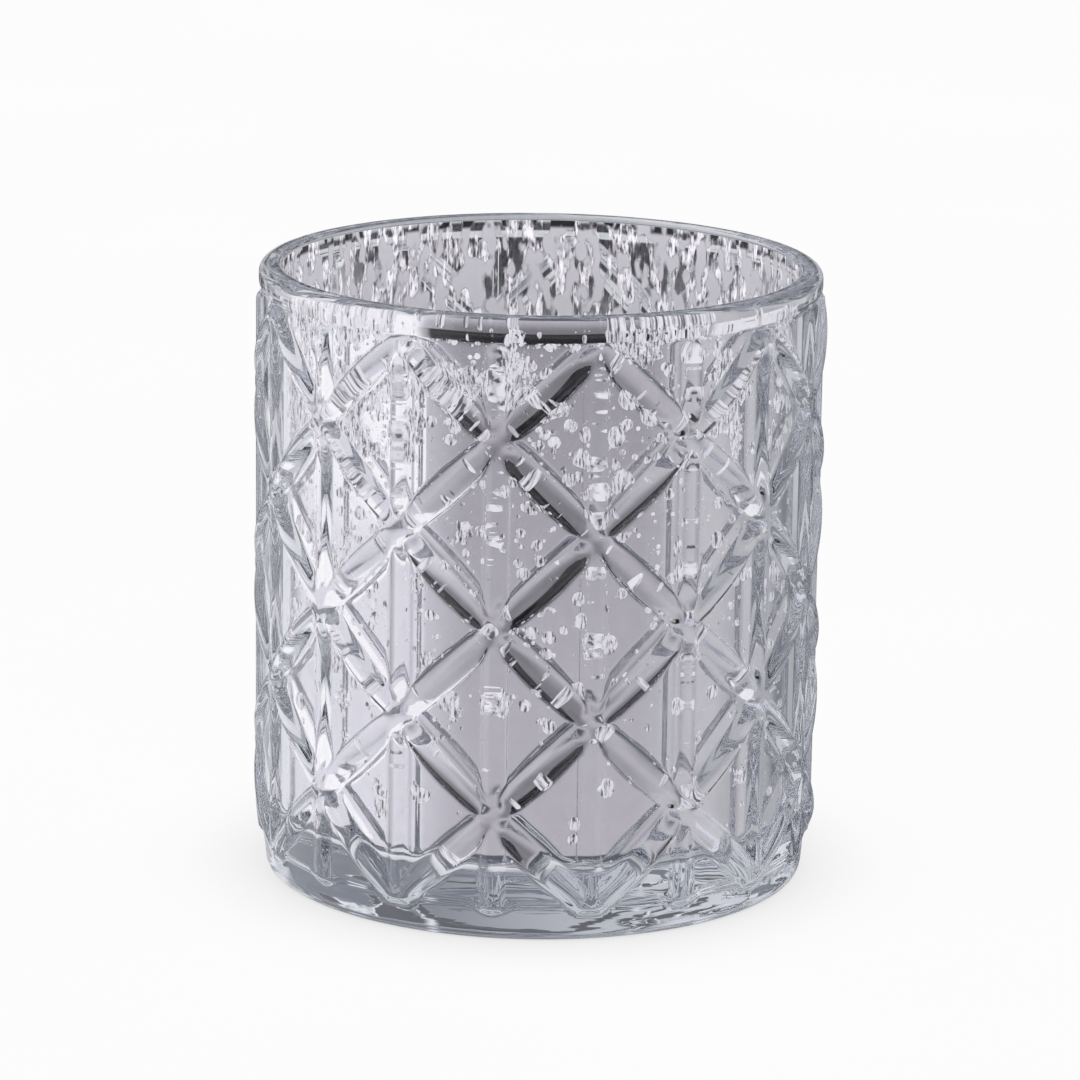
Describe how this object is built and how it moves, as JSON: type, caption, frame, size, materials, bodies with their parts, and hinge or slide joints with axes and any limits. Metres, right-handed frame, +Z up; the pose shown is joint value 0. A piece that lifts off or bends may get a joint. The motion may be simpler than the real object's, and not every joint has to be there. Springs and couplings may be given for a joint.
{
  "type": "tealight holder",
  "caption": "Round pressed-glass tealight holder with a raised diamond rib pattern and a mottled silver lining, holding a standard lift-out tealight.",
  "frame": {"origin": "centre of the underside, on the plane the holder stands on", "axes": "+Z up along the tumbler's axis, -Y the pictured front, +X to the right as seen from the front"},
  "size_m": [0.0742, 0.0744, 0.08],
  "materials": {
    "clear_glass": "polished clear pressed glass",
    "mottled_silver": "thin silver coating, mottled with clear specks",
    "cup_aluminium": "bright rolled foil",
    "white_wax": "smooth, slightly translucent wax",
    "tinned_steel": "satin",
    "waxed_cotton": "braided cotton, waxed"
  },
  "bodies": {
    "holder": {"glass_body": "clear_glass", "silver_lining": "mottled_silver"},
    "tealight": {"tealight_cup": "cup_aluminium", "tealight_wax": "white_wax", "wick_sustainer": "tinned_steel", "wick": "waxed_cotton"}
  },
  "joints": [
    {"name": "tealight_lift", "type": "slide", "parent": "holder", "child": "tealight", "axis": [0, 0, 1], "range_m": [0, 0.085]}
  ]
}
